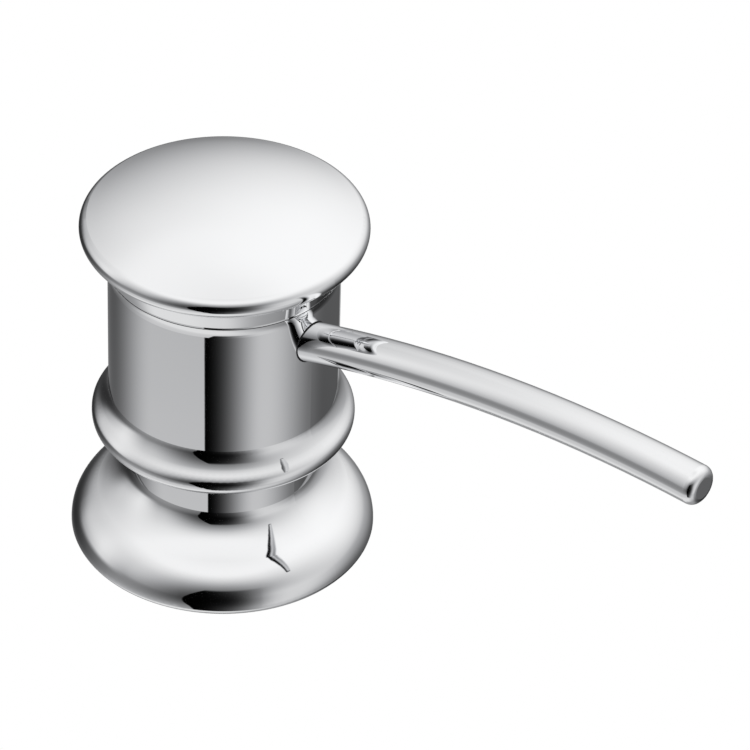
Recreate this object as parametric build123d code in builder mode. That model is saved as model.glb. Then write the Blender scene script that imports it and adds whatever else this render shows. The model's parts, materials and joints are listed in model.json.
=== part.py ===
# Deck-mounted soap pump dispenser.
# Millimetres, +Z up. The origin is the centre of the flange underside, on the deck, and the spout points along +X.
from build123d import *
import os
from math import cos, radians, sin, sqrt, tan

os.makedirs("parts", exist_ok=True)

# ---- base flange with its neck
flange_radius = 25.5
flange_widest_height = 2.2
lip_run = 5.0
bell_rise = 5.15
bell_pull = (23.5, 7.75)
bell_to_cove = (21.1, 9.05)
cove_pull = (19.8, 9.75)
cove_rise = 12.3
neck_radius = 15.85
neck_foot = 15.3
neck_edge = 0.4
neck_top = 27.2
neck_bore = 11.2
socket_radius = 13.45
socket_depth = 8.0
groove_inner = 15.5
groove_outer = 18.5
groove_depth = 1.0

# ---- press head
sleeve_radius = 19.1
sleeve_bore = 17.3
sleeve_bottom = 23.35
sleeve_top = 55.88
sleeve_flare_start = 54.0
sleeve_flare_radius = 4.7
sleeve_roof = 2.0
roof_hole = 15.2
ring_cove_top = 30.8
ring_cove_pull = 30.05
ring_turn_above = (19.75, 28.4)
ring_turn = (20.9, 27.25)
ring_turn_below = (21.85, 26.3)
ring_radius = 21.9
ring_widest_height = 25.05
ring_pull_up = 25.9
ring_pull_down = 24.4
ring_foot_pull = 21.55
ring_foot_radius = 20.1

cap_rim_radius = 21.7
cap_rim_height = 62.55
cap_rim_edge = 2.0
cap_dome_radius = 60.0
cap_land_radius = 19.42
cap_land_height = 0.48
cap_foot_radius = 19.67
flare_angle = 20.0
cap_flare_fillet = 0.3
cap_bore = 13.5
cap_gap = 0.08

# ---- spout: one arc in the XZ plane, rising from the sleeve and level at the tip
spout_radius = 3.35
spout_bore = 2.35
spout_root_height = 48.65
spout_rise_angle = 17.9
spout_arc_radius = 255.8
spout_inner_x = 10.0
spout_reach = 98.5
spout_end_wall = 2.4
spout_tip_edge = 1.5
seal_radius = 3.55
nozzle_setback = 6.0
nozzle_radius = 1.65
nozzle_bore = 1.0
nozzle_recess = 0.55
nozzle_height = 1.7

# ---- stem, piston and pump cartridge
stem_radius = 4.0
stem_bore = 2.0
stem_top = 42.7
stem_bottom = 18.0
piston_radius = 6.6
piston_top = 21.5
piston_bottom = 9.5
cylinder_radius = 8.6
cylinder_bore = 7.0
cylinder_top = 22.0
cylinder_floor = -20.0
collar_radius = 11.1
collar_floor_top = 24.0
collar_top = 30.0
valve_chamber = 2.6
ball_radius = 2.3
outlet_seat_height = 12.5
inlet_seat_height = -28.0
seat_hole = 1.5
tube_radius = 2.85
tube_bore = 1.9
tube_top = -31.0
tube_bottom = -160.0

# ---- below the deck
deck_thickness = 30.0
shank_radius = 13.4
shank_bottom = -50.0
thread_start = -10.0
thread_pitch = 1.5
thread_depth = 0.6
washer_bore = 13.8
rubber_washer_radius = 21.0
rubber_washer_thickness = 2.0
steel_washer_radius = 20.0
steel_washer_thickness = 1.2
nut_radius = 17.5
nut_flange_radius = 19.0
nut_flange_height = 1.6
nut_height = 8.0
nut_grips = 8
nut_grip_depth = 6.0
nut_grip_width = 5.0
nut_grip_corner = 1.2
bottle_radius = 33.0
bottle_bottom = -165.0
bottle_wall = 1.6
bottle_neck_fillet = 3.0
bottle_shoulder_fillet = 9.0
bottle_foot_fillet = 5.0
bottle_neck_radius = 16.5
bottle_neck_top = -44.0
bottle_neck_bottom = -57.0
bottle_shoulder = -66.0
bottle_ribs = 24
bottle_rib_radius = 0.6
bottle_rib_height = 8.0
bottle_gasket_thickness = 1.5

CLEAR = 0.05
UPRIGHT = (Align.CENTER, Align.CENTER, Align.MIN)

# the spout's arc: its centre, and the height of its highest point
spout_centre_x = sleeve_radius + spout_arc_radius * sin(radians(spout_rise_angle))
spout_centre_z = spout_root_height - spout_arc_radius * cos(radians(spout_rise_angle))
spout_top_z = spout_centre_z + spout_arc_radius


def turned(points):
    """Face for a turned piece, from the (radius, height) corners of its half section."""
    with BuildSketch(Plane.XZ) as half:
        with BuildLine():
            Polyline(*points, close=True)
        make_face()
    return half.sketch


def ring_section(inner, outer, bottom, top):
    """Half section of a plain flat ring."""
    return turned([(inner, bottom), (outer, bottom), (outer, top), (inner, top)])


def spout_path(start_x, end_x):
    """Centre line of the spout between two distances from the axis."""
    with BuildLine(Plane.XZ) as path:
        RadiusArc(
            (start_x, spout_height(start_x)),
            (end_x, spout_height(end_x)),
            spout_arc_radius,
        )
    return path.line


def spout_height(x):
    """Height of the spout's centre line at a distance x from the axis."""
    return spout_centre_z + sqrt(spout_arc_radius**2 - (spout_centre_x - x) ** 2)


def spout_rod(radius, start_x, end_x):
    """Solid bar along the spout's centre line."""
    path = spout_path(start_x, end_x)
    with BuildPart(mode=Mode.PRIVATE) as rod:
        with BuildSketch(Plane(origin=path @ 0, z_dir=path % 0)):
            Circle(radius)
        sweep(path=path)
    return rod.part


# ================= base: the pieces that stay with the deck =================

with BuildPart() as base_flange:
    with BuildSketch(Plane.XZ) as flange_section:
        with BuildLine():
            under = Line((socket_radius, 0), (flange_radius - lip_run, 0))
            EllipticalCenterArc(
                (flange_radius - lip_run, flange_widest_height), lip_run, flange_widest_height, -90, arc_size=90
            )
            Bezier((flange_radius, flange_widest_height), (flange_radius, bell_rise), bell_pull, bell_to_cove)
            Bezier(bell_to_cove, cove_pull, (neck_radius, cove_rise), (neck_radius, neck_foot))
            Polyline(
                (neck_radius, neck_foot),
                (neck_radius, neck_top),
                (neck_bore, neck_top),
                (neck_bore, socket_depth),
                (socket_radius, socket_depth),
                under @ 0,
            )
        make_face()
        lip = flange_section.vertices().sort_by_distance((neck_radius, neck_top, 0))[0]
        fillet(lip, neck_edge)
    revolve(axis=Axis.Z)
    revolve(ring_section(groove_inner, groove_outer, 0, groove_depth), axis=Axis.Z, mode=Mode.SUBTRACT)

with BuildPart() as flange_gasket:
    revolve(ring_section(groove_inner + CLEAR, groove_outer - CLEAR, 0, groove_depth - CLEAR), axis=Axis.Z)

with BuildPart() as threaded_shank:
    thread_count = int((thread_start - shank_bottom) / thread_pitch) - 1
    shank_section = [(neck_bore, shank_bottom), (neck_bore, socket_depth - CLEAR)]
    shank_section += [(shank_radius, socket_depth - CLEAR), (shank_radius, thread_start)]
    for turn in range(thread_count):
        crest = thread_start - turn * thread_pitch
        shank_section.append((shank_radius - thread_depth, crest - thread_pitch * 0.45))
        shank_section.append((shank_radius - thread_depth, crest - thread_pitch * 0.55))
        shank_section.append((shank_radius, crest - thread_pitch * 0.95))
        shank_section.append((shank_radius, crest - thread_pitch))
    shank_section.append((shank_radius - thread_depth, shank_bottom))
    revolve(turned(shank_section), axis=Axis.Z)

with BuildPart() as rubber_washer:
    steel_washer_top = -deck_thickness - rubber_washer_thickness
    revolve(ring_section(washer_bore, rubber_washer_radius, steel_washer_top, -deck_thickness), axis=Axis.Z)

with BuildPart() as steel_washer:
    nut_top = steel_washer_top - steel_washer_thickness
    revolve(ring_section(washer_bore, steel_washer_radius, nut_top, steel_washer_top), axis=Axis.Z)

with BuildPart() as mounting_nut:
    nut_bore = shank_radius + 0.15
    with BuildSketch(Plane.XY.offset(nut_top - nut_height)):
        Circle(nut_radius)
        with PolarLocations(nut_radius, nut_grips):
            RectangleRounded(nut_grip_depth, nut_grip_width, nut_grip_corner)
        Circle(nut_bore, mode=Mode.SUBTRACT)
    extrude(amount=nut_height)
    with BuildSketch(Plane.XY.offset(nut_top - nut_flange_height)):
        Circle(nut_flange_radius)
        Circle(nut_bore, mode=Mode.SUBTRACT)
    extrude(amount=nut_flange_height)

with BuildPart() as bottle:
    shelf = shank_bottom - bottle_gasket_thickness
    mouth_radius = neck_bore + 0.3
    screw_bore = shank_radius + 0.15
    with BuildSketch(Plane.XZ) as bottle_section:
        with BuildLine():
            Polyline(
                (0, bottle_neck_top),
                (bottle_neck_radius, bottle_neck_top),
                (bottle_neck_radius, bottle_neck_bottom),
                (bottle_radius, bottle_shoulder),
                (bottle_radius, bottle_bottom),
                (0, bottle_bottom),
                close=True,
            )
        make_face()
        neck_corner = bottle_section.vertices().sort_by_distance((bottle_neck_radius, bottle_neck_bottom, 0))[0]
        fillet(neck_corner, bottle_neck_fillet)
        shoulder_corner = bottle_section.vertices().sort_by_distance((bottle_radius, bottle_shoulder, 0))[0]
        fillet(shoulder_corner, bottle_shoulder_fillet)
        foot_corner = bottle_section.vertices().sort_by_distance((bottle_radius, bottle_bottom, 0))[0]
        fillet(foot_corner, bottle_foot_fillet)
    revolve(axis=Axis.Z)
    with BuildSketch(Plane.XZ) as hollow_section:
        inside = bottle_radius - bottle_wall
        inside_floor = bottle_bottom + bottle_wall
        inside_shoulder = bottle_shoulder - 2.0
        with BuildLine():
            Polyline(
                (0, bottle_neck_top),
                (screw_bore, bottle_neck_top),
                (screw_bore, shelf),
                (mouth_radius, shelf),
                (mouth_radius, bottle_neck_bottom - 1.0),
                (inside, inside_shoulder),
                (inside, inside_floor),
                (0, inside_floor),
                close=True,
            )
        make_face()
        inner_shoulder = hollow_section.vertices().sort_by_distance((inside, inside_shoulder, 0))[0]
        fillet(inner_shoulder, bottle_shoulder_fillet - bottle_wall)
        inner_foot = hollow_section.vertices().sort_by_distance((inside, inside_floor, 0))[0]
        fillet(inner_foot, bottle_foot_fillet - bottle_wall)
    revolve(axis=Axis.Z, mode=Mode.SUBTRACT)
    with PolarLocations(bottle_neck_radius, bottle_ribs):
        with Locations((0, 0, bottle_neck_top - bottle_rib_height - 1.0)):
            Cylinder(bottle_rib_radius, bottle_rib_height, align=UPRIGHT)

with BuildPart() as bottle_gasket:
    revolve(ring_section(mouth_radius, shank_radius, shelf, shank_bottom), axis=Axis.Z)

# ================= pump cartridge: lifts out of the neck =================

with BuildPart() as pump_collar:
    collar_flange = 12.9
    collar_flange_bottom = neck_top + 0.8
    collar_grip = 8.0
    hub_recess = 7.5
    stem_guide = stem_radius + 0.08
    seal_pocket_radius = 5.3
    seal_pocket_depth = 1.2
    collar_section = [
        (stem_guide, cylinder_top),
        (cylinder_radius + CLEAR, cylinder_top),
        (cylinder_radius + CLEAR, cylinder_top - collar_grip),
        (collar_radius, cylinder_top - collar_grip),
        (collar_radius, collar_flange_bottom),
        (collar_flange, collar_flange_bottom),
        (collar_flange, collar_top),
        (hub_recess, collar_top),
        (hub_recess, collar_floor_top),
        (seal_pocket_radius, collar_floor_top),
        (seal_pocket_radius, collar_floor_top - seal_pocket_depth),
        (stem_guide, collar_floor_top - seal_pocket_depth),
    ]
    revolve(turned(collar_section), axis=Axis.Z)

with BuildPart() as collar_gasket:
    revolve(ring_section(collar_radius + 0.2, collar_flange - 0.1, neck_top, collar_flange_bottom), axis=Axis.Z)

with BuildPart() as stem_seal:
    stem_seal_bottom = collar_floor_top - seal_pocket_depth + CLEAR
    stem_seal_outside = seal_pocket_radius - CLEAR
    revolve(
        ring_section(stem_radius + 0.03, stem_seal_outside, stem_seal_bottom, collar_floor_top - CLEAR),
        axis=Axis.Z,
    )

with BuildPart() as pump_cylinder:
    inlet_pipe_end = -36.0
    inlet_pipe_radius = 4.6
    floor_thickness = 2.0
    floor_chamfer = 1.0
    cylinder_section = [
        (tube_bore, cylinder_floor),
        (cylinder_bore, cylinder_floor),
        (cylinder_bore, cylinder_top),
        (cylinder_radius, cylinder_top),
        (cylinder_radius, cylinder_floor - floor_thickness + floor_chamfer),
        (cylinder_radius - floor_chamfer, cylinder_floor - floor_thickness),
        (inlet_pipe_radius, cylinder_floor - floor_thickness),
        (inlet_pipe_radius, inlet_pipe_end),
        (tube_radius + CLEAR, inlet_pipe_end),
        (tube_radius + CLEAR, cylinder_floor - floor_thickness),
        (tube_bore, cylinder_floor - floor_thickness),
    ]
    revolve(turned(cylinder_section), axis=Axis.Z)

with BuildPart() as inlet_seat:
    revolve(ring_section(seat_hole, tube_radius, tube_top, inlet_seat_height), axis=Axis.Z)

with BuildPart() as inlet_ball:
    with Locations((0, 0, inlet_seat_height + sqrt(ball_radius**2 - seat_hole**2) + 0.02)):
        Sphere(ball_radius)

with BuildPart() as dip_tube:
    revolve(ring_section(tube_bore, tube_radius, tube_bottom, tube_top), axis=Axis.Z)
    tube_cut_angle = 35
    cutter_width = 20
    cutter_depth = 6
    with Locations(Location((0, 0, tube_bottom), (0, tube_cut_angle, 0))):
        Box(
            cutter_width,
            cutter_width,
            cutter_depth,
            align=(Align.CENTER, Align.CENTER, Align.MAX),
            mode=Mode.SUBTRACT,
        )

with BuildPart() as return_spring:
    spring_radius = 5.2
    wire_radius = 0.5
    spring_turns = 7
    spring_height = piston_bottom - cylinder_floor - 2 * wire_radius
    with BuildLine() as coil:
        Helix(spring_height / spring_turns, spring_height, spring_radius, center=(0, 0, cylinder_floor + wire_radius))
    with BuildSketch(Plane(origin=coil.line @ 0, z_dir=coil.line % 0)):
        Circle(wire_radius)
    sweep(path=coil.line, is_frenet=True)

# ================= plunger: slides in the cartridge =================

with BuildPart() as plunger_stem:
    revolve(ring_section(stem_bore, stem_radius, stem_bottom, stem_top), axis=Axis.Z)

with BuildPart() as piston:
    seal_groove = 5.3
    groove_bottom = piston_bottom + 1.5
    groove_top = piston_bottom + 5.0
    piston_crown = piston_bottom + 6.5
    socket_outside = 5.4
    piston_section = [
        (seat_hole, piston_bottom),
        (piston_radius, piston_bottom),
        (piston_radius, groove_bottom),
        (seal_groove, groove_bottom),
        (seal_groove, groove_top),
        (piston_radius, groove_top),
        (piston_radius, piston_crown),
        (socket_outside, piston_crown),
        (socket_outside, piston_top),
        (stem_radius, piston_top),
        (stem_radius, stem_bottom),
        (valve_chamber, stem_bottom),
        (valve_chamber, outlet_seat_height),
        (seat_hole, outlet_seat_height),
    ]
    revolve(turned(piston_section), axis=Axis.Z)

with BuildPart() as piston_seal:
    seal_section = [
        (seal_groove, groove_bottom + CLEAR),
        (cylinder_bore - CLEAR, groove_bottom + CLEAR),
        (cylinder_bore - 0.35, (groove_bottom + groove_top) / 2),
        (cylinder_bore - CLEAR, groove_top - CLEAR),
        (seal_groove, groove_top - CLEAR),
    ]
    revolve(turned(seal_section), axis=Axis.Z)

with BuildPart() as outlet_ball:
    with Locations((0, 0, outlet_seat_height + sqrt(ball_radius**2 - seat_hole**2) + 0.02)):
        Sphere(ball_radius)

# ================= press head: turns on the stem =================

with BuildPart() as sleeve:
    with BuildSketch(Plane.XZ):
        with BuildLine():
            foot = Line((sleeve_bore, sleeve_bottom), (ring_foot_radius, sleeve_bottom))
            Bezier(
                foot @ 1,
                (ring_foot_pull, sleeve_bottom),
                (ring_radius, ring_pull_down),
                (ring_radius, ring_widest_height),
            )
            Bezier((ring_radius, ring_widest_height), (ring_radius, ring_pull_up), ring_turn_below, ring_turn)
            Bezier(ring_turn, ring_turn_above, (sleeve_radius, ring_cove_pull), (sleeve_radius, ring_cove_top))
            Line((sleeve_radius, ring_cove_top), (sleeve_radius, sleeve_flare_start))
            flare = RadiusArc(
                (sleeve_radius, sleeve_flare_start),
                (
                    sleeve_radius + sleeve_flare_radius * (1 - cos(radians(flare_angle))),
                    sleeve_flare_start + sleeve_flare_radius * sin(radians(flare_angle)),
                ),
                sleeve_flare_radius,
            )
            Polyline(
                flare @ 1,
                ((flare @ 1).X + (sleeve_top - (flare @ 1).Y) * tan(radians(flare_angle)), sleeve_top),
                (roof_hole, sleeve_top),
                (roof_hole, sleeve_top - sleeve_roof),
                (sleeve_bore, sleeve_top - sleeve_roof),
                foot @ 0,
            )
        make_face()
    revolve(axis=Axis.Z)
    add(spout_rod(seal_radius, sleeve_bore - 4.0, sleeve_radius + 4.0), mode=Mode.SUBTRACT)

with BuildPart() as guide_bush:
    bush_bottom = sleeve_bottom + 0.2
    bush_height = 9.0
    bush_top = bush_bottom + bush_height
    bush_bore = neck_radius + CLEAR
    bush_chamfer = 0.8
    bush_section = [
        (bush_bore + bush_chamfer, bush_bottom),
        (sleeve_bore - 0.03, bush_bottom),
        (sleeve_bore - 0.03, bush_top),
        (bush_bore, bush_top),
        (bush_bore, bush_bottom + bush_chamfer),
    ]
    revolve(turned(bush_section), axis=Axis.Z)

with BuildPart() as head_core:
    hub_radius = 6.5
    hub_bottom = 33.5
    core_bottom = 41.5
    core_top = 59.8
    core_radius = sleeve_bore - 0.1
    boss_radius = cap_bore - 0.1
    pocket_radius = 9.0
    pocket_floor = 50.0
    way_radius = 3.0
    way_top = 47.5
    ring_groove_floor = 12.6
    ring_groove_bottom = 56.8
    ring_groove_top = 58.4
    spout_way_radius = 1.8
    core_section = [
        (stem_radius + CLEAR, hub_bottom),
        (hub_radius, hub_bottom),
        (hub_radius, core_bottom),
        (core_radius, core_bottom),
        (core_radius, sleeve_top - sleeve_roof - CLEAR),
        (roof_hole - 0.1, sleeve_top - sleeve_roof - CLEAR),
        (roof_hole - 0.1, sleeve_top),
        (boss_radius, sleeve_top),
        (boss_radius, core_top),
        (pocket_radius, core_top),
        (pocket_radius, pocket_floor),
        (0, pocket_floor),
        (0, way_top),
        (way_radius, way_top),
        (way_radius, stem_top + CLEAR),
        (stem_radius + CLEAR, stem_top + CLEAR),
    ]
    revolve(turned(core_section), axis=Axis.Z)
    revolve(
        ring_section(ring_groove_floor, cap_bore, ring_groove_bottom, ring_groove_top),
        axis=Axis.Z,
        mode=Mode.SUBTRACT,
    )
    with Locations(Location((0, 0, spout_height(spout_inner_x)), (0, 90, 0))):
        Cylinder(spout_way_radius, spout_inner_x + 1.0, align=UPRIGHT, mode=Mode.SUBTRACT)
    add(spout_rod(spout_radius + CLEAR, spout_inner_x, sleeve_radius), mode=Mode.SUBTRACT)

with BuildPart() as spout:
    add(spout_rod(spout_radius, spout_inner_x, spout_reach))
    fillet(spout.edges().sort_by(Axis.X)[-1], spout_tip_edge)
    add(spout_rod(spout_bore, spout_inner_x, spout_reach - spout_end_wall), mode=Mode.SUBTRACT)
    with Locations((spout_reach - nozzle_setback, 0, spout_top_z - spout_radius - 1.0)):
        Cylinder(nozzle_radius + 0.02, spout_radius, align=UPRIGHT, mode=Mode.SUBTRACT)

with BuildPart() as spout_seal:
    add(spout_rod(seal_radius - 0.02, sleeve_bore - 2.0, sleeve_radius + 3.0))
    add(spout_rod(spout_radius + 0.02, sleeve_bore - 3.0, sleeve_radius + 4.0), mode=Mode.SUBTRACT)
    with BuildSketch():
        Circle(sleeve_radius - CLEAR)
        Circle(sleeve_bore + CLEAR, mode=Mode.SUBTRACT)
    extrude(amount=2 * sleeve_top, mode=Mode.INTERSECT)

with BuildPart() as outlet_nozzle:
    with Locations((spout_reach - nozzle_setback, 0, spout_top_z - spout_radius + nozzle_recess)):
        Cylinder(nozzle_radius, nozzle_height, align=UPRIGHT)
        Cylinder(nozzle_bore, nozzle_height, align=UPRIGHT, mode=Mode.SUBTRACT)

with BuildPart() as cap:
    dome_centre = cap_rim_height - sqrt((cap_dome_radius - cap_rim_edge) ** 2 - cap_rim_radius**2)
    dome_top = dome_centre + cap_dome_radius
    touch = cap_dome_radius / (cap_dome_radius - cap_rim_edge)
    dome_edge = (cap_rim_radius * touch, dome_centre + (cap_rim_height - dome_centre) * touch)
    rim_bottom = cap_rim_height - cap_rim_edge
    cap_foot = sleeve_top + cap_gap
    flare_foot = cap_foot + cap_land_height
    flare_top_radius = cap_foot_radius + (rim_bottom - flare_foot) * tan(radians(flare_angle))
    cap_hollow_top = 64.5
    cap_hollow_radius = 10.0
    cap_hollow_crown = 7.0
    with BuildSketch(Plane.XZ) as cap_section:
        with BuildLine():
            RadiusArc((0, dome_top), dome_edge, cap_dome_radius)
            ThreePointArc(dome_edge, (cap_rim_radius + cap_rim_edge, cap_rim_height), (cap_rim_radius, rim_bottom))
            Polyline(
                (cap_rim_radius, rim_bottom),
                (flare_top_radius, rim_bottom),
                (cap_foot_radius, flare_foot),
                (cap_land_radius, flare_foot),
                (cap_land_radius, cap_foot),
                (cap_bore, cap_foot),
                (cap_bore, core_top + 0.2),
                (cap_hollow_radius, core_top + 0.2),
                (cap_hollow_crown, cap_hollow_top),
                (0, cap_hollow_top),
                (0, dome_top),
            )
        make_face()
        flare_top = cap_section.vertices().sort_by_distance((flare_top_radius, rim_bottom, 0))[0]
        fillet(flare_top, cap_flare_fillet)
    revolve(axis=Axis.Z)

with BuildPart() as cap_ring:
    ring_bottom = ring_groove_bottom + CLEAR
    ring_top = ring_groove_top - CLEAR
    revolve(ring_section(ring_groove_floor + CLEAR, cap_bore - 0.02, ring_bottom, ring_top), axis=Axis.Z)

# ================= export =================

pieces = {
    "base_flange": base_flange,
    "flange_gasket": flange_gasket,
    "threaded_shank": threaded_shank,
    "rubber_washer": rubber_washer,
    "steel_washer": steel_washer,
    "mounting_nut": mounting_nut,
    "bottle": bottle,
    "bottle_gasket": bottle_gasket,
    "pump_collar": pump_collar,
    "collar_gasket": collar_gasket,
    "stem_seal": stem_seal,
    "pump_cylinder": pump_cylinder,
    "inlet_seat": inlet_seat,
    "inlet_ball": inlet_ball,
    "dip_tube": dip_tube,
    "return_spring": return_spring,
    "plunger_stem": plunger_stem,
    "piston": piston,
    "piston_seal": piston_seal,
    "outlet_ball": outlet_ball,
    "sleeve": sleeve,
    "guide_bush": guide_bush,
    "head_core": head_core,
    "spout": spout,
    "spout_seal": spout_seal,
    "outlet_nozzle": outlet_nozzle,
    "cap": cap,
    "cap_ring": cap_ring,
}
for name, piece in pieces.items():
    piece.part.label = name
    export_step(piece.part, f"parts/{name}.step")
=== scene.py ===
import json
from collections import namedtuple
from math import cos, radians, sin

import bmesh
import bpy
from mathutils import Matrix, Vector


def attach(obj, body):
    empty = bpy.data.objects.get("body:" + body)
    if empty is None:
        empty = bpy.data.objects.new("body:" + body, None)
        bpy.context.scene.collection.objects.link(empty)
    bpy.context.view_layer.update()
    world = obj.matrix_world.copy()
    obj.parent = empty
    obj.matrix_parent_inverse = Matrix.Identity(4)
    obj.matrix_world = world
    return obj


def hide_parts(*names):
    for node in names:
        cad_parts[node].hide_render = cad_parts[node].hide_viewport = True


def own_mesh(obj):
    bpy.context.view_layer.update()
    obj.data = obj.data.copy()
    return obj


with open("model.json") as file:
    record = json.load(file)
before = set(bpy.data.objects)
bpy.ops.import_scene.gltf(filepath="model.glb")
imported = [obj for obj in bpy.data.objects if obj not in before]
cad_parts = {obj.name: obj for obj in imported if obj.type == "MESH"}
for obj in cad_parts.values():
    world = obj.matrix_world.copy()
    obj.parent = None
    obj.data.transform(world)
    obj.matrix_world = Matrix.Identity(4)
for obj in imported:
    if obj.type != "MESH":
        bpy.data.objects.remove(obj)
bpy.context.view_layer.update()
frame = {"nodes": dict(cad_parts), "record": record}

scene = bpy.context.scene
scene.view_settings.view_transform = "Standard"

# ---- camera: the photo's viewing angle
VIEW_AZIMUTH = radians(39.55)
VIEW_ELEVATION = radians(37.59)
VIEW_DISTANCE = 0.895
VIEW_ROLL = radians(1.67)
VIEW_AIM = Vector((0.01947, 0.01582, 0.03298))
VIEW_LENS = 259.4
SENSOR_WIDTH = 36.0

# ---- floor: a thin plate square to the camera, in metres from the axis
FLOOR_HALF_WIDTH = 0.052
FLOOR_FRONT = 0.067
FLOOR_BACK = 0.052
FLOOR_CORNER = 0.008
FLOOR_THICKNESS = 0.0025
FLOOR_DROP = 0.00005
CORNER_STEPS = 8
# how bright its top glows, and the painted shade of its edge at the darkest and at the lightest
FLOOR_TOP_GLOW = 1.0
FLOOR_EDGE_PAINTED_SHADE = (0.70, 0.76)
# what the deck hides from the bright metal above it
BELOW_DECK = ("threaded_shank", "rubber_washer", "steel_washer", "mounting_nut", "bottle", "bottle_gasket")

# ---- studio round the object, by direction. Azimuths are in degrees from the camera's, to the right.
BACKDROP_WHITE = 1.0
# tones are as they look on a screen, and light is their power
TONE_TO_LIGHT = 2.2
WALL_HEIGHTS = (-90, -60, -45, -30, -15, 0, 15, 30, 45, 60, 90)
WALL_TONES = (0.56, 0.65, 0.79, 0.58, 0.52, 0.66, 0.77, 0.84, 0.92, 0.97, 0.93)
# a panel's azimuth, half width and softness to its left, the same to its right, low edge and its softness,
# high edge and its softness, and tone. Its right half is below 0 if it starts to fade left of its azimuth.
Panel = namedtuple("Panel", "azimuth left left_soft right right_soft low low_soft high high_soft tone")
PANELS = {
    "front_dip": Panel(-3, 3, 63, 5, 62, -22, 36, 23, 63, 0.19),
    "left_glow": Panel(-99, 19, 20, 2, 30, -11, 14, 31, 52, 0.97),
    "back_left_dark": Panel(-140, 1, 68, 1, 66, -40, 67, -8, 89, 0.0),
    "right_glow": Panel(56, 4, 50, 1, 59, -36, 12, 11, 32, 0.83),
    "right_floor": Panel(127, 3, 80, 35, 8, -60, 30, -32, 41, 0.16),
    "back_left_bright": Panel(-135, 0, 23, 12, 28, 15, 31, 23, 85, 0.71),
    "back_right_bright": Panel(138, 18, 73, 19, 53, 5, 89, 70, 20, 1.0),
    "floor_glow": Panel(-64, 41, 33, 62, 86, -84, 26, -52, 16, 0.88),
    "front_card": Panel(-12, 0, 1.5, -10, 63, -48.5, 3, 19, 6, 0.02),
}
# the card's left edge bows out: how far, at which elevation most, and how far above and below it is straight
CARD_BOW = 12.0
CARD_MIDDLE = -13.0
CARD_REACH = 30.0
# the softbox that lights what isn't bright metal: the direction to it, and its level away from it and at it
SOFT_LIGHT_FROM = (-0.55, -0.45, 0.70)
SOFT_LIGHT_LOW = 0.42
SOFT_LIGHT_HIGH = 1.45
# colour of the dark tones and of the bright ones, and the tones between which it changes
SHADE_TINT = (0.99, 0.996, 1.015)
LIGHT_TINT = (1.0, 1.0, 1.0)
SHADE_BELOW = 0.6
LIGHT_ABOVE = 0.95

# ---- noise seldom leaves this range, which is stretched over what it drives
NOISE_LOW = 0.3
NOISE_HIGH = 0.7


def add_camera():
    back = Vector((
        sin(VIEW_AZIMUTH) * cos(VIEW_ELEVATION),
        -cos(VIEW_AZIMUTH) * cos(VIEW_ELEVATION),
        sin(VIEW_ELEVATION),
    ))
    level = Vector((cos(VIEW_AZIMUTH), sin(VIEW_AZIMUTH), 0.0))
    right = (Matrix.Rotation(VIEW_ROLL, 3, back) @ level).normalized()
    up = back.cross(right)
    data = bpy.data.cameras.new("photo_camera")
    data.lens = VIEW_LENS
    data.sensor_width = SENSOR_WIDTH
    data.clip_start = 0.01
    data.clip_end = 20.0
    camera = bpy.data.objects.new("photo_camera", data)
    scene.collection.objects.link(camera)
    turn = Matrix((right, up, back)).transposed().to_4x4()
    camera.matrix_world = Matrix.Translation(VIEW_AIM + back * VIEW_DISTANCE) @ turn
    scene.camera = camera


class Graph:
    """Short calls for building one node tree."""

    def __init__(self, tree):
        self.tree = tree
        tree.nodes.clear()

    def node(self, kind, inputs=(), **settings):
        made = self.tree.nodes.new(kind)
        for key, value in settings.items():
            setattr(made, key, value)
        for key, value in dict(inputs).items():
            if isinstance(value, bpy.types.NodeSocket):
                self.tree.links.new(value, made.inputs[key])
            else:
                made.inputs[key].default_value = value
        return made

    def math(self, operation, *values):
        return self.node("ShaderNodeMath", dict(enumerate(values)), operation=operation).outputs[0]

    def dot(self, vector, other):
        made = self.node("ShaderNodeVectorMath", {0: vector, 1: other}, operation="DOT_PRODUCT")
        return made.outputs["Value"]

    def step(self, value, start, end, low=0.0, high=1.0, kind="SMOOTHSTEP"):
        """Goes from low at start to high at end."""
        return self.node(
            "ShaderNodeMapRange",
            {"Value": value, "From Min": start, "From Max": end, "To Min": low, "To Max": high},
            interpolation_type=kind,
        ).outputs[0]

    def blend(self, amount, a, b):
        return self.node("ShaderNodeMix", {0: amount, 2: a, 3: b}, data_type="FLOAT").outputs[0]

    def tint(self, amount, dark, light):
        """Colour between two, by an amount from 0 to 1."""
        inputs = {0: amount, 6: (*dark, 1), 7: (*light, 1)}
        return self.node("ShaderNodeMix", inputs, data_type="RGBA").outputs[2]

    def spread(self, amount, low, high):
        """Noise stretched from low to high."""
        return self.step(amount, NOISE_LOW, NOISE_HIGH, low, high)

    def noise(self, scale, detail=3.0, stretch=(1.0, 1.0, 1.0)):
        """Noise from 0 to 1 over the piece's own coordinates, in features of about 1 / scale metres."""
        place = self.node("ShaderNodeTexCoord").outputs["Object"]
        place = self.node("ShaderNodeMapping", {"Vector": place, "Scale": stretch}).outputs["Vector"]
        inputs = {"Vector": place, "Scale": scale, "Detail": detail}
        return self.node("ShaderNodeTexNoise", inputs).outputs["Fac"]

    def bump(self, height, distance, strength=1.0):
        inputs = {"Height": height, "Distance": distance, "Strength": strength}
        return self.node("ShaderNodeBump", inputs).outputs["Normal"]

    def background(self, color, strength):
        return self.node("ShaderNodeBackground", {"Color": color, "Strength": strength}).outputs[0]

    def finish(self, **inputs):
        """Principled surface with the given sockets."""
        sockets = {key.replace("_", " "): value for key, value in inputs.items()}
        shader = self.node("ShaderNodeBsdfPrincipled", sockets)
        self.node("ShaderNodeOutputMaterial", {"Surface": shader.outputs[0]})


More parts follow.
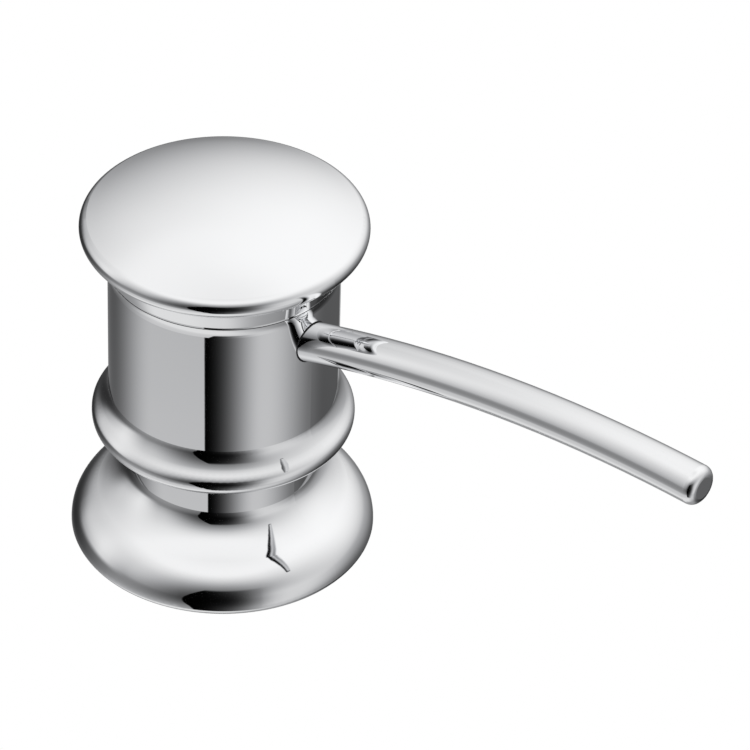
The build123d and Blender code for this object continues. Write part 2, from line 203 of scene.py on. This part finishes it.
def wall_tone(g, elevation):
    """Tone of the studio's wall by height."""
    wall = g.node("ShaderNodeFloatCurve", {"Value": g.step(elevation, -90, 90, kind="LINEAR")})
    curve = wall.mapping.curves[0]
    for at, tone in zip(WALL_HEIGHTS[1:-1], WALL_TONES[1:-1]):
        curve.points.new((at + 90) / 180, tone)
    curve.points[0].location = (0, WALL_TONES[0])
    curve.points[-1].location = (1, WALL_TONES[-1])
    for point in curve.points:
        point.handle_type = "AUTO_CLAMPED"
    wall.mapping.update()
    return wall.outputs[0]


def with_panels(g, tone, azimuth, elevation):
    """The wall's tone with the panels laid over it, in their order."""
    off_middle = g.math("DIVIDE", g.math("SUBTRACT", elevation, CARD_MIDDLE), CARD_REACH)
    bow = g.math("MULTIPLY", g.math("SUBTRACT", 1.0, g.math("MULTIPLY", off_middle, off_middle)), CARD_BOW)
    for name, panel in PANELS.items():
        along = g.math("WRAP", g.math("SUBTRACT", azimuth, panel.azimuth), 180, -180)
        from_left = g.math("ADD", along, bow) if name == "front_card" else along
        amount = g.step(from_left, -panel.left - panel.left_soft, -panel.left)
        for part in (
            g.step(along, panel.right, panel.right + panel.right_soft, 1, 0),
            g.step(elevation, panel.low - panel.low_soft / 2, panel.low + panel.low_soft / 2),
            g.step(elevation, panel.high - panel.high_soft / 2, panel.high + panel.high_soft / 2, 1, 0),
        ):
            amount = g.math("MULTIPLY", amount, part)
        tone = g.blend(amount, tone, panel.tone)
    return tone


def add_studio():
    """Bright metal reflects the panels, the softbox lights the rest, and behind it all is white."""
    world = bpy.data.worlds.new("studio")
    scene.world = world
    world.use_nodes = True
    g = Graph(world.node_tree)
    direction = g.node("ShaderNodeTexCoord").outputs["Generated"]
    aside = g.dot(direction, (cos(VIEW_AZIMUTH), sin(VIEW_AZIMUTH), 0))
    ahead = g.dot(direction, (sin(VIEW_AZIMUTH), -cos(VIEW_AZIMUTH), 0))
    height = g.node("ShaderNodeSeparateXYZ", {0: direction}).outputs["Z"]
    azimuth = g.math("DEGREES", g.math("ARCTAN2", aside, ahead))
    elevation = g.math("DEGREES", g.math("ARCSINE", height))

    tone = with_panels(g, wall_tone(g, elevation), azimuth, elevation)
    tint = g.tint(g.step(tone, SHADE_BELOW, LIGHT_ABOVE), SHADE_TINT, LIGHT_TINT)
    panels = g.background(tint, g.math("POWER", tone, TONE_TO_LIGHT))
    softness = g.step(g.dot(direction, SOFT_LIGHT_FROM), -1, 1, SOFT_LIGHT_LOW, SOFT_LIGHT_HIGH)
    softbox = g.background((1, 1, 1, 1), softness)
    backdrop = g.background((1, 1, 1, 1), BACKDROP_WHITE)

    path = g.node("ShaderNodeLightPath").outputs
    mixed = g.node("ShaderNodeMixShader", {0: path["Is Glossy Ray"], 1: softbox, 2: panels}).outputs[0]
    straight = g.math("MAXIMUM", path["Is Camera Ray"], path["Is Transmission Ray"])
    mixed = g.node("ShaderNodeMixShader", {0: straight, 1: mixed, 2: backdrop}).outputs[0]
    g.node("ShaderNodeOutputWorld", {"Surface": mixed})


def material(name):
    """New node material and the graph to fill it."""
    mat = bpy.data.materials.new(name)
    mat.use_nodes = True
    return mat, Graph(mat.node_tree)


def chrome():
    """Bright plating over a polished casting: long-wave waviness, and roughness where it was buffed."""
    mat, g = material("chrome")
    haze = g.noise(scale=60.0, detail=4.0)
    grain = g.noise(scale=2500.0, detail=2.0)
    waves = g.noise(scale=90.0)
    g.finish(
        Base_Color=g.tint(haze, dark=(0.925, 0.93, 0.94), light=(0.955, 0.958, 0.965)),
        Metallic=1.0,
        Roughness=g.spread(haze, low=0.012, high=0.035),
        Normal=g.bump(g.blend(0.85, grain, waves), distance=0.000002),
    )
    return mat


def black_rubber():
    mat, g = material("black_rubber")
    bloom = g.noise(scale=180.0, detail=5.0)
    pores = g.noise(scale=4000.0, detail=2.0)
    g.finish(
        Base_Color=g.tint(bloom, dark=(0.010, 0.010, 0.011), light=(0.028, 0.028, 0.030)),
        Roughness=g.spread(bloom, low=0.52, high=0.72),
        Specular_IOR_Level=0.4,
        Normal=g.bump(pores, distance=0.00003, strength=0.6),
    )
    return mat


def moulded(name, dark, light, rough, grain_size, grain_depth):
    """Moulded plastic: faint flow lines along the height and the mould's spark-eroded grain."""
    mat, g = material(name)
    lines = g.noise(scale=220.0, detail=4.0, stretch=(1.0, 1.0, 0.25))
    grain = g.noise(scale=1.0 / grain_size, detail=2.0)
    g.finish(
        Base_Color=g.tint(lines, dark, light),
        Roughness=g.spread(lines, low=rough - 0.06, high=rough + 0.08),
        Specular_IOR_Level=0.5,
        Normal=g.bump(grain, distance=grain_depth, strength=0.7),
    )
    return mat


def see_through(name, dark, light, transmission, rough, wave_depth):
    """Blown or drawn plastic that lets light through, with streaks along its height."""
    mat, g = material(name)
    streaks = g.noise(scale=260.0, detail=3.0, stretch=(1.0, 1.0, 0.08))
    g.finish(
        Base_Color=g.tint(streaks, dark, light),
        Roughness=g.spread(streaks, low=rough - 0.05, high=rough + 0.06),
        IOR=1.5,
        Transmission_Weight=transmission,
        Normal=g.bump(streaks, distance=wave_depth, strength=0.8),
    )
    return mat


def turned_metal(name, dark, light, rough, ring_pitch, ring_depth):
    """Metal off the lathe: fine rings across the height, with stains where it was handled."""
    mat, g = material(name)
    stain = g.noise(scale=110.0, detail=5.0)
    rings = g.noise(scale=1.0 / ring_pitch, detail=1.0, stretch=(0.02, 0.02, 1.0))
    g.finish(
        Base_Color=g.tint(stain, dark, light),
        Metallic=1.0,
        Roughness=g.spread(stain, low=rough - 0.06, high=rough + 0.10),
        Normal=g.bump(rings, distance=ring_depth, strength=0.5),
    )
    return mat


def deck_white():
    """The pale floor: it glows white on top, and its edge glows a little darker as painted shade."""
    mat, g = material("deck_white")
    normal = g.node("ShaderNodeNewGeometry").outputs["Normal"]
    up = g.node("ShaderNodeSeparateXYZ", {0: normal}).outputs["Z"]
    # painted shade: faces that don't point up glow less than the top, so the plate's edge looks shaded
    edge = g.spread(g.noise(scale=40.0), *FLOOR_EDGE_PAINTED_SHADE)
    strength = g.blend(g.step(up, 0.2, 0.8), edge, FLOOR_TOP_GLOW)
    glow = g.node("ShaderNodeEmission", {"Color": (1, 1, 1, 1), "Strength": strength})
    g.node("ShaderNodeOutputMaterial", {"Surface": glow.outputs[0]})
    return mat


def floor_outline():
    """Rounded rectangle square to the camera, as points on the deck."""
    points = []
    quarters = ((1, 1), (-1, 1), (-1, -1), (1, -1))
    for k, (side, depth) in enumerate(quarters):
        far = FLOOR_FRONT if depth < 0 else FLOOR_BACK
        for step in range(CORNER_STEPS + 1):
            turn = radians(90 * k + 90 * step / CORNER_STEPS)
            across = side * (FLOOR_HALF_WIDTH - FLOOR_CORNER) + FLOOR_CORNER * cos(turn)
            away = depth * (far - FLOOR_CORNER) + FLOOR_CORNER * sin(turn)
            points.append((
                across * cos(VIEW_AZIMUTH) - away * sin(VIEW_AZIMUTH),
                across * sin(VIEW_AZIMUTH) + away * cos(VIEW_AZIMUTH),
            ))
    return points


def add_floor():
    """Thin plate under the flange, which only the camera sees."""
    build = bmesh.new()
    ring = [build.verts.new((x, y, -FLOOR_DROP)) for x, y in floor_outline()]
    top = build.faces.new(ring)
    body = bmesh.ops.extrude_face_region(build, geom=[top])
    for vert in (item for item in body["geom"] if isinstance(item, bmesh.types.BMVert)):
        vert.co.z -= FLOOR_THICKNESS
    bmesh.ops.recalc_face_normals(build, faces=build.faces)
    mesh = bpy.data.meshes.new("floor")
    build.to_mesh(mesh)
    build.free()
    floor = bpy.data.objects.new("floor", mesh)
    scene.collection.objects.link(floor)
    mesh.materials.append(deck_white())
    floor.visible_glossy = False
    floor.visible_diffuse = False
    floor.visible_transmission = False
    floor.visible_shadow = False


def dress_nodes():
    """Gives every CAD node the finish of its material slot in the record."""
    finishes = {
        "chrome": chrome(),
        "black_rubber": black_rubber(),
        "white_acetal": moulded(
            "white_acetal", dark=(0.74, 0.74, 0.71), light=(0.83, 0.83, 0.81),
            rough=0.38, grain_size=0.0004, grain_depth=0.00002,
        ),
        "grey_plastic": moulded(
            "grey_plastic", dark=(0.030, 0.031, 0.034), light=(0.055, 0.056, 0.060),
            rough=0.46, grain_size=0.0006, grain_depth=0.00004,
        ),
        "clear_tube": see_through(
            "clear_tube", dark=(0.86, 0.88, 0.88), light=(0.93, 0.94, 0.94),
            transmission=0.85, rough=0.16, wave_depth=0.00001,
        ),
        "bottle_plastic": see_through(
            "bottle_plastic", dark=(0.86, 0.88, 0.90), light=(0.93, 0.95, 0.96),
            transmission=0.72, rough=0.20, wave_depth=0.00002,
        ),
        "stainless_steel": turned_metal(
            "stainless_steel", dark=(0.52, 0.51, 0.50), light=(0.66, 0.65, 0.64),
            rough=0.24, ring_pitch=0.00025, ring_depth=0.000004,
        ),
        "brass": turned_metal(
            "brass", dark=(0.60, 0.42, 0.17), light=(0.80, 0.61, 0.30),
            rough=0.26, ring_pitch=0.0003, ring_depth=0.000006,
        ),
    }
    for part in frame["record"]["subparts"]:
        node = frame["nodes"][part["node"]]
        for holder in node.material_slots:
            holder.material = finishes[part["material_slot"]]
        if part["node"] in BELOW_DECK:
            node.visible_glossy = False


def add_spring():
    """The return spring again, as a piece of its own on the cartridge, with the CAD node hidden."""
    spring = bpy.data.objects.new("pressed_spring", frame["nodes"]["return_spring"].data.copy())
    scene.collection.objects.link(spring)
    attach(spring, "cartridge")
    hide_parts("return_spring")
    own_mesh(spring)


add_camera()
add_studio()
add_floor()
dress_nodes()
add_spring()
